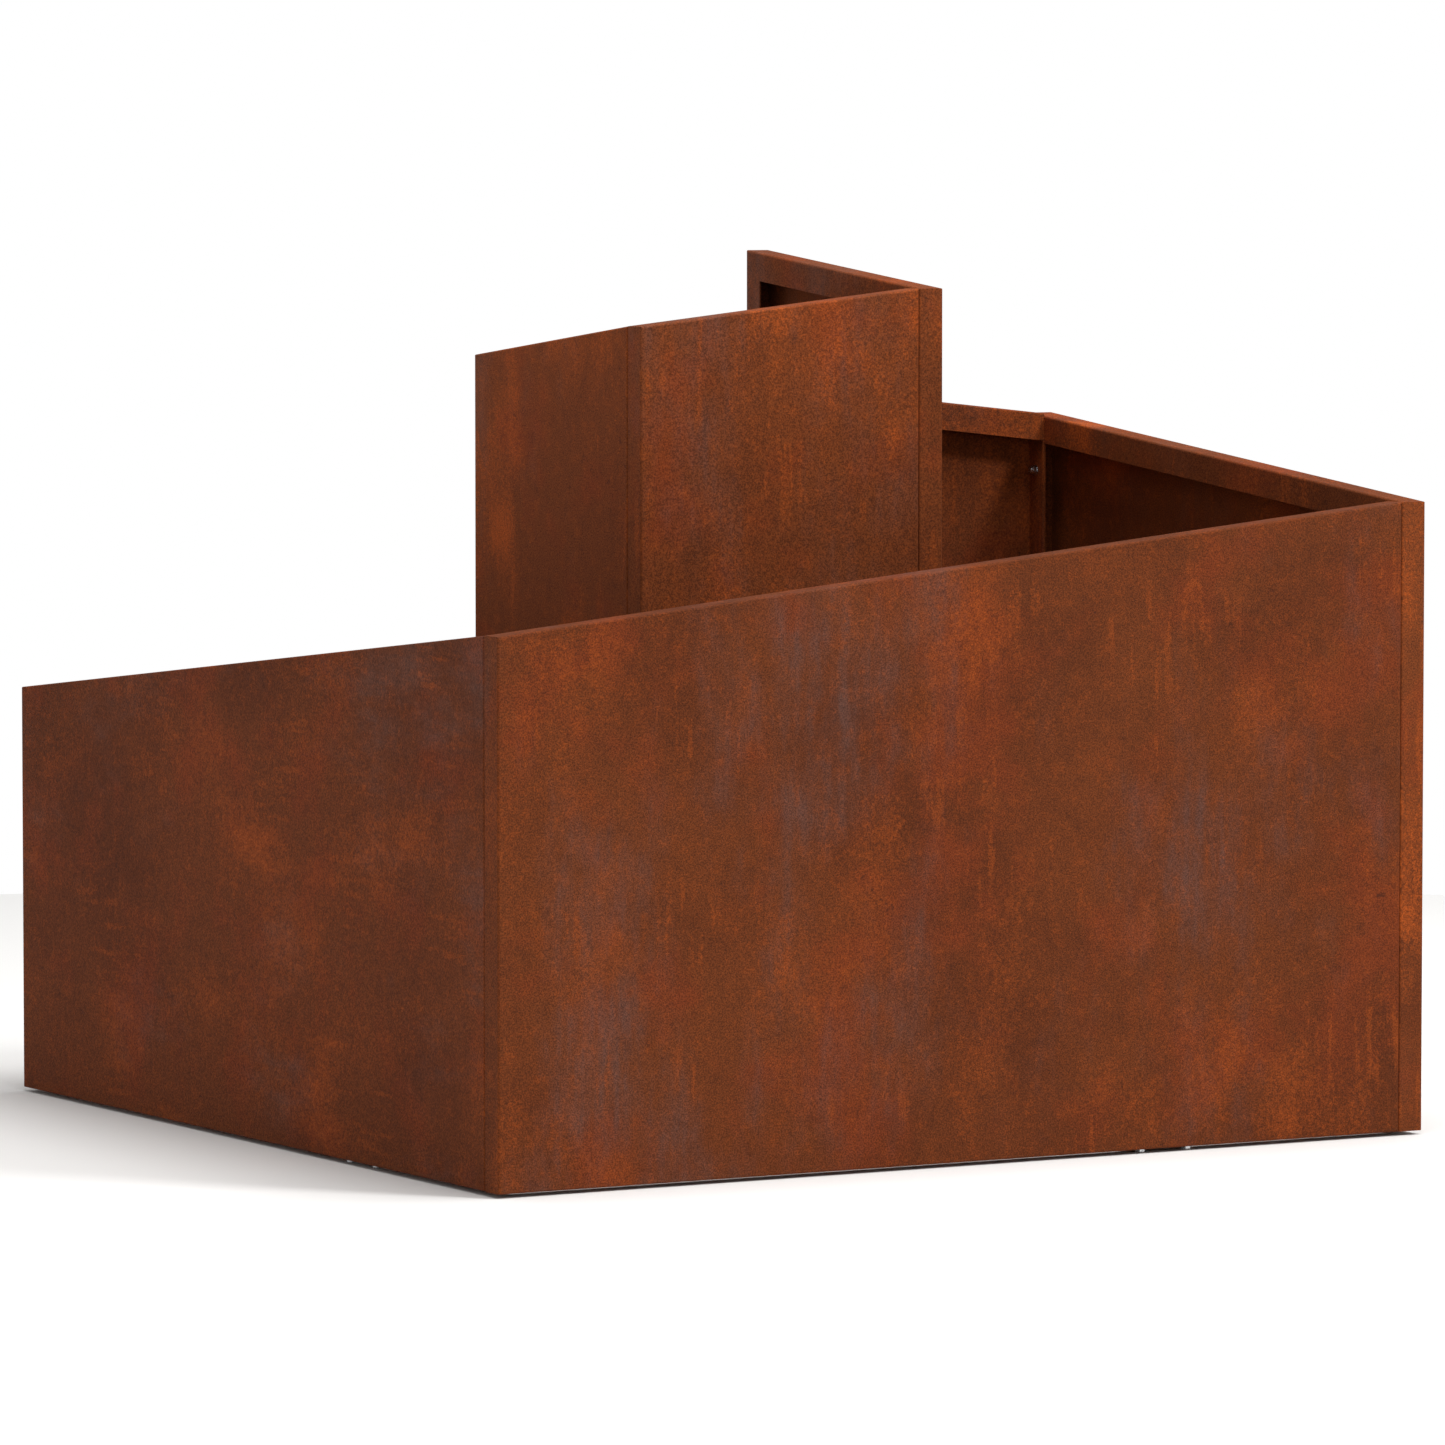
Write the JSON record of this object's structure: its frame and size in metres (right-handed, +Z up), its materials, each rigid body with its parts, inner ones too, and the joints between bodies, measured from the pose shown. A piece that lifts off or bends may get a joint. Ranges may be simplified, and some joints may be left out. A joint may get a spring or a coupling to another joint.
{
  "type": "planter",
  "caption": "Square spiral planter of bolted, folded weathering-steel panels, whose top edge climbs steadily from a low rear corner to a tower in the middle.",
  "frame": {"origin": "on the ground under the centre of the square, where the planter stands on its tie bolts", "axes": "+Z up, -Y towards the front panel, -X towards the left panel"},
  "size_m": [0.9, 0.9, 0.7535],
  "materials": {
    "weathering_steel": "matte",
    "zinc_plated_steel": "satin"
  },
  "bodies": {
    "root": {"divider_panel": "weathering_steel", "divider_tower_joint_bolts": "zinc_plated_steel", "divider_tower_joint_nuts": "zinc_plated_steel", "divider_tower_joint_washers": "zinc_plated_steel", "front_left_joint_bolts": "zinc_plated_steel", "front_left_joint_nuts": "zinc_plated_steel", "front_left_joint_washers": "zinc_plated_steel", "front_panel": "weathering_steel", "front_right_joint_bolts": "zinc_plated_steel", "front_right_joint_nuts": "zinc_plated_steel", "front_right_joint_washers": "zinc_plated_steel", "front_tie": "weathering_steel", "left_panel": "weathering_steel", "low_end_joint_bolts": "zinc_plated_steel", "low_end_joint_nuts": "zinc_plated_steel", "low_end_joint_washers": "zinc_plated_steel", "low_end_panel": "weathering_steel", "rear_left_joint_bolts": "zinc_plated_steel", "rear_left_joint_nuts": "zinc_plated_steel", "rear_left_joint_washers": "zinc_plated_steel", "rear_panel": "weathering_steel", "rear_right_joint_bolts": "zinc_plated_steel", "rear_right_joint_nuts": "zinc_plated_steel", "rear_right_joint_washers": "zinc_plated_steel", "right_divider_joint_bolts": "zinc_plated_steel", "right_divider_joint_nuts": "zinc_plated_steel", "right_divider_joint_washers": "zinc_plated_steel", "right_panel": "weathering_steel", "side_tie": "weathering_steel", "tie_bolts": "zinc_plated_steel", "tie_nuts": "zinc_plated_steel", "tie_washers": "zinc_plated_steel", "tower_front_left_joint_bolts": "zinc_plated_steel", "tower_front_left_joint_nuts": "zinc_plated_steel", "tower_front_left_joint_washers": "zinc_plated_steel", "tower_front_panel": "weathering_steel", "tower_front_right_joint_bolts": "zinc_plated_steel", "tower_front_right_joint_nuts": "zinc_plated_steel", "tower_front_right_joint_washers": "zinc_plated_steel", "tower_left_panel": "weathering_steel", "tower_rear_left_joint_bolts": "zinc_plated_steel", "tower_rear_left_joint_nuts": "zinc_plated_steel", "tower_rear_left_joint_washers": "zinc_plated_steel", "tower_rear_panel": "weathering_steel", "tower_rear_right_joint_bolts": "zinc_plated_steel", "tower_rear_right_joint_nuts": "zinc_plated_steel", "tower_rear_right_joint_washers": "zinc_plated_steel", "tower_right_panel": "weathering_steel"}
  },
  "joints": []
}
